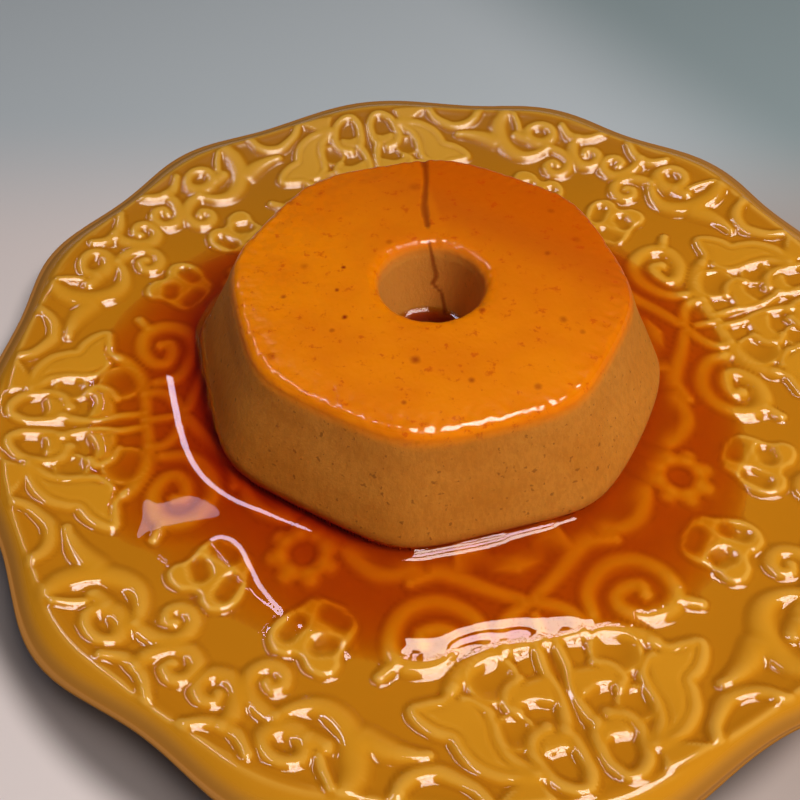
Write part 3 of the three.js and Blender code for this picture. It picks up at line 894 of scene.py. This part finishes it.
# %% How the liquid behaves round the plate, as [degrees, mm]
EDGE_WIDTHS = [  # over which the deep pool rounds off at its shore
    (0, 1.5), (150, 0.7), (190, 0.7), (197, 1), (210, 1.3), (235, 1.5), (255, 2), (285, 2), (310, 1.5),
]
CLIMBS = [  # how high it climbs the custard
    (0, 1.2), (150, 5.5), (185, 5), (200, 4.2), (228, 4), (243, 0.9), (262, 1), (292, 0.5),
]
CAPILLARIES = [  # how far from a wall it is bent
    (0, 1.6), (130, 1.8), (150, 3.2), (225, 3.0), (240, 2.2), (290, 2.2), (300, 1.6),
]
FILM_CAPILLARY = 0.7
FILM_DEPTH, FILM_FADE = 0.5, 7  # the film thins out over this width before its end
FILM_AIM = 0.3  # how far under the glaze the film's end is aimed
POOL_LEVEL = 7.5
POOL_TILT, POOL_SIDE = 0.006, math.radians(165)  # it stands higher on one side, by this slope
POOL_REACH = 88.0  # past the shore all round
CELL = 0.6
ROUNDS = 400

cells = int(2 * (POOL_REACH + 3) / CELL)
grid = (cells + 1, cells + 1)
ticks = (np.arange(cells + 1) - cells / 2) * CELL
grid_x, grid_y = (axis.ravel() for axis in np.meshgrid(ticks, ticks, indexing="ij"))
radius, turn = np.hypot(grid_x, grid_y), np.degrees(np.arctan2(grid_y, grid_x)) % 360
offset = np.stack([grid_x, grid_y], 1) - FLAN_CENTRE
foot_turn = np.degrees(np.arctan2(offset[:, 1], offset[:, 0]))
foot = WATERLINE_RADIUS * octagon(foot_turn, np.full(len(offset), BASE_CORNERS)) * sag(foot_turn)
from_custard = np.hypot(*offset.T) - foot
plate_top = upper_face(grid_x, grid_y)[0]
print("grid of", grid, "points")


def around_plate(knots, at, spread=1.5):
    """A closed curve through [degrees, radius] knots, rounded off a little."""
    degrees, radii = np.array(knots, float).T
    near = [np.interp((at + shift) % 360, degrees, radii, period=360) for shift in (-spread, 0, spread)]
    return sum(near) / 3


# %% [markdown]
# Each point of the grid gets a height to aim for: the pool's level inside the shore, a thin film over
# the glaze outside it, and a little under the glaze where it is dry. Points inside the custard's foot
# are held at the height to which the liquid climbs. All others are settled by the rule.

# %% Settle the surface on a grid
level = POOL_LEVEL + POOL_TILT * (grid_x * math.cos(POOL_SIDE) + grid_y * math.sin(POOL_SIDE))
inside_shore = np.maximum(around_plate(SHORE, turn) - radius, 0)
film_share = 1 - ease(-FILM_FADE, 1, radius - around_plate(FILM, turn))
edge_width = around_plate(EDGE_WIDTHS, turn)
ground = WELL_TOP + RISE * np.maximum(radius - WELL_RADIUS, 0) ** 2
thin = np.minimum(ground + FILM_DEPTH * film_share - FILM_AIM * (1 - film_share), level)
aim = thin + (level - thin) * (1 - np.exp(-inside_shore / edge_width))
inside_share = ease(0, 2 * edge_width, inside_shore)
bend = FILM_CAPILLARY + (around_plate(CAPILLARIES, turn) - FILM_CAPILLARY) * inside_share

pull = ((CELL / bend) ** 2).reshape(grid)[1:-1, 1:-1]
aim, plate_top, from_custard = (values.reshape(grid) for values in (aim, plate_top, from_custard))
surface = np.maximum(aim, plate_top)
climbed = aim + around_plate(CLIMBS, turn).reshape(grid)
surface[from_custard < 0] = climbed[from_custard < 0]
held = from_custard[1:-1, 1:-1] < 0
for _ in range(ROUNDS):
    around = surface[:-2, 1:-1] + surface[2:, 1:-1] + surface[1:-1, :-2] + surface[1:-1, 2:]
    settled = np.maximum((around + pull * aim[1:-1, 1:-1]) / (4 + pull), plate_top[1:-1, 1:-1])
    surface[1:-1, 1:-1] = np.where(held, surface[1:-1, 1:-1], settled)
depth = surface - plate_top
print("deepest caramel:", round(depth[from_custard > 1].max(), 2), "mm")

# %% [markdown]
# ## The pool as a closed body
#
# A flat grid takes these heights. Where the liquid has run dry, the grid dives just under the glaze.
# The cells well under the custard and past the shore go, the two edges are drawn down into the plate,
# and a fill closes the bottom. A boolean could do the same, but leaves long thin triangles.

# %% Cut the pool from a grid
SINK, DRY = 0.25, 0.04  # how far it dives under the glaze, and the depth at which it starts to
TUCK = 1.2  # how far it reaches in under the custard
POOL_BOTTOM = WELL_TOP - 0.3
pool = bmesh.new()
bmesh.ops.create_grid(pool, x_segments=cells, y_segments=cells, size=-ticks[0])
points = places(pool)
column, line = (np.rint(points[:, axis] / CELL + cells / 2).astype(int) for axis in (0, 1))
points[:, 2] = (surface - SINK * (1 - ease(0, DRY, depth)))[column, line]
move(pool, points)
keep = ((radius.reshape(grid) < POOL_REACH) & (from_custard > -TUCK))[column, line]
bmesh.ops.delete(pool, geom=[v for v, kept in zip(pool.verts, keep) if not kept], context="VERTS")
rim = [edge for edge in pool.edges if edge.is_boundary]
drawn = bmesh.ops.extrude_edge_only(pool, edges=rim)["geom"]
for vert in (item for item in drawn if isinstance(item, bmesh.types.BMVert)):
    vert.co.z = POOL_BOTTOM
lower_edges = [item for item in drawn if isinstance(item, bmesh.types.BMEdge)]
bmesh.ops.triangle_fill(pool, edges=lower_edges, use_beauty=False)
bmesh.ops.recalc_face_normals(pool, faces=pool.faces)
print("open edges left:", sum(edge.is_boundary for edge in pool.edges))

# %% [markdown]
# ## Liquid caramel
#
# The liquid is clear and coloured through its depth, so thin edges are yellow and the deep middle is
# brown-orange. That is a volume that absorbs light, inside a surface of clear glass. Glass would throw
# a black shadow on the plate, because light finds no straight way through it to a lamp. So rays that
# look for a lamp meet a plain grey film instead.

# %% Liquid caramel, coloured through its depth
CARAMEL_TINT, CARAMEL_DENSITY = (0.967, 0.825, 0.0, 1.0), 1500.0
LAMP_FILM = (0.6, 0.6, 0.6, 1.0)


def liquid(name):
    """A clear liquid with caramel's colour."""
    made = Finish(name, Transmission_Weight=1.0, Roughness=0.0, IOR=1.42, Base_Color=(1, 1, 1, 1))
    absorb = {"Color": CARAMEL_TINT, "Density": CARAMEL_DENSITY}
    made.plug(made.node("VolumeAbsorption", None, absorb), made.output.inputs["Volume"])
    clear = made.node("BsdfTransparent", None, {"Color": LAMP_FILM})
    lamp_ray = made.node("LightPath", output="Is Shadow Ray")
    both = made.node("MixShader", None, {0: lamp_ray, 1: Wire(made, made.shader.outputs[0]), 2: clear})
    made.plug(both, made.output.inputs["Surface"])
    return made.material


finished(pool, "caramel_liquid", liquid("liquid_caramel"), "caramel_pool")

# %% [markdown]
# The hole holds a pool of its own, much deeper and therefore nearly black. It is a plain turned body.
# Its surface is raised at the wall that it wets.

# %% Caramel in the hole
HOLE_LEVEL, HOLE_FLOOR = 14.0, WELL_TOP
HOLE_WALL, HOLE_REACH = 10.6, 11.2  # the wall at its level, and how far it reaches into the custard
HOLE_CLIMB, HOLE_CAPILLARY = 1.2, 1.8
HOLE_STEPS, HOLE_ROWS = 96, 20
hole_rows = [(0, HOLE_FLOOR), (HOLE_WALL, HOLE_FLOOR)]
hole_rows += [(r, HOLE_LEVEL) for r in np.linspace(HOLE_REACH, 0, HOLE_ROWS)]
hole = turned(hole_rows, HOLE_STEPS)
points = places(hole)
reach = np.hypot(points[:, 0], points[:, 1])
climb = np.minimum(HOLE_CLIMB * np.exp((reach - HOLE_WALL) / HOLE_CAPILLARY), HOLE_CLIMB)
points[:, 2] += climb * (points[:, 2] > HOLE_LEVEL - 1)
points[:, :2] += FLAN_CENTRE + HOLE_SHIFT
move(hole, points)
finished(hole, "caramel_in_hole_liquid", liquid("liquid_caramel_deep"), "caramel_in_hole")

# %% [markdown]
# ## The table
#
# A plain pale table carries the plate. Its colour is painted light: warm and bright at the front,
# cool and dim at the back, and darker to the right. Under the rim a painted shadow darkens it, a little
# to the left and front, because lamps as soft as those below leave no dark line beside a plate.

# %% Table
TABLE_HALF = 2.0  # half a side, in metres
NEAR_LIT_LEFT, NEAR_DIM_RIGHT = srgb(230, 219, 217), srgb(169, 154, 147)
FAR_DIM_LEFT, FAR_DIMMER_RIGHT = srgb(194, 204, 211), srgb(145, 162, 167)
RIM_SHADE, SHADE_MIDDLE = srgb(62, 50, 42), (-0.0088, -0.0047, 0.0)
SHADE_END, SHADE_START = 0.112, 0.1045  # metres from its middle

table = bmesh.new()
bmesh.ops.create_grid(table, x_segments=1, y_segments=1, size=TABLE_HALF)
table_mesh = bpy.data.meshes.new("table")
table.to_mesh(table_mesh)
table.free()
table_top = bpy.data.objects.new("table", table_mesh)
bpy.context.scene.collection.objects.link(table_top)
pale = Finish("pale_table", Roughness=0.6)
across = pale.node("SeparateXYZ", None, {0: pale.place()}, "X")
backwards = pale.node("SeparateXYZ", None, {0: pale.place()}, "Y")
# Painted light: the colour stands in for the fall of light, bright and warm at the front left, dimmer and
# cooler to the back and right.
near_painted_light = pale.blend(across.between(-0.06, 0.05), NEAR_LIT_LEFT, NEAR_DIM_RIGHT)
far_painted_light = pale.blend((across + backwards * 0.3).between(0.1, 0.18), FAR_DIM_LEFT, FAR_DIMMER_RIGHT)
painted_light_colour = pale.blend((backwards + across * 0.25).between(0.04, 0.125), near_painted_light, far_painted_light)
out = pale.node("VectorMath", {"operation": "DISTANCE"}, {0: pale.place(), 1: SHADE_MIDDLE}, "Value")
under_rim = (out * -1).between(-SHADE_END, -SHADE_START)
pale.set(Base_Color=pale.blend(under_rim * 0.85, painted_light_colour, RIM_SHADE))
table_top.data.materials.append(pale.material)
print("table", 2 * TABLE_HALF, "m wide")

# %% [markdown]
# ## Light
#
# Glaze and caramel show the room that they stand in, so the lamps are set by how they look in them.
# Six slats over the right side make one striped lamp. A long tube and a soft oval hang behind at the
# left. All these show in reflections and light nothing. The light comes from a square lamp at the front
# right and a wide one overhead, which reflections don't show, and a dim sky fills the shadows.

# %% Lamps and sky, in metres
LAMP_HEIGHT = 0.6
SLATS, SLAT_STEP, SLAT_SIZE = 6, 0.063, (0.24, 0.045)
SLAT_TINTS = ((1.0, 0.9, 0.72), (1.0, 0.84, 0.84))
PANE_SIZE, PANE_POWER = (0.036, 0.12), 11  # watts for each square metre
PANE_SHARES = (0.3, 0.55, 0.8, 1.05)  # ovals on one another, so that the pane fades towards its edge
SKY_COLOUR, SKY_STRENGTH = (0.6, 0.6, 0.6, 1), 0.04


def lamp(name, place, size, power, colour, shows=True, lights=True, shape="RECTANGLE"):
    """A flat lamp that faces down. It may light things without showing in reflections, or only show."""
    light = bpy.data.lights.new(name, "AREA")
    light.shape = shape
    light.size, light.size_y = size
    light.energy = power
    light.color = colour
    holder = bpy.data.objects.new(name, light)
    holder.location = place
    holder.visible_glossy = shows
    holder.visible_transmission = False
    holder.visible_diffuse = lights
    bpy.context.scene.collection.objects.link(holder)


for row in range(SLATS):
    place = (0.143, 0.1 - SLAT_STEP * row, LAMP_HEIGHT)
    lamp(f"slat_{row}", place, SLAT_SIZE, 0.6, SLAT_TINTS[row % 2], lights=False)
lamp("tube_seen", (-0.236, 0.285, LAMP_HEIGHT), (0.038, 0.55), 1.0, (0.88, 0.84, 1.0), lights=False)
pane_place, pane_tint = (-0.14, 0.32, LAMP_HEIGHT), (0.88, 0.86, 1.0)
for share in PANE_SHARES:
    size = (PANE_SIZE[0] * share, PANE_SIZE[1] * share)
    power = PANE_POWER * size[0] * size[1]
    lamp(f"pane_{share}", pane_place, size, power, pane_tint, lights=False, shape="ELLIPSE")
lamp("key_light", (0.28, -0.36, 0.7), (0.35, 0.35), 6.6, (1.0, 0.93, 0.88), shows=False)
lamp("fill_light", (-0.1, 0.1, 1.0), (1.4, 1.4), 2.2, (0.96, 0.98, 1.0), shows=False)
sky = bpy.data.worlds.new("sky")
sky.use_nodes = True
sky.node_tree.nodes["Background"].inputs["Color"].default_value = SKY_COLOUR
sky.node_tree.nodes["Background"].inputs["Strength"].default_value = SKY_STRENGTH
bpy.context.scene.world = sky
bpy.context.scene.view_settings.view_transform = "Standard"
print(len(bpy.data.lights), "lamps")
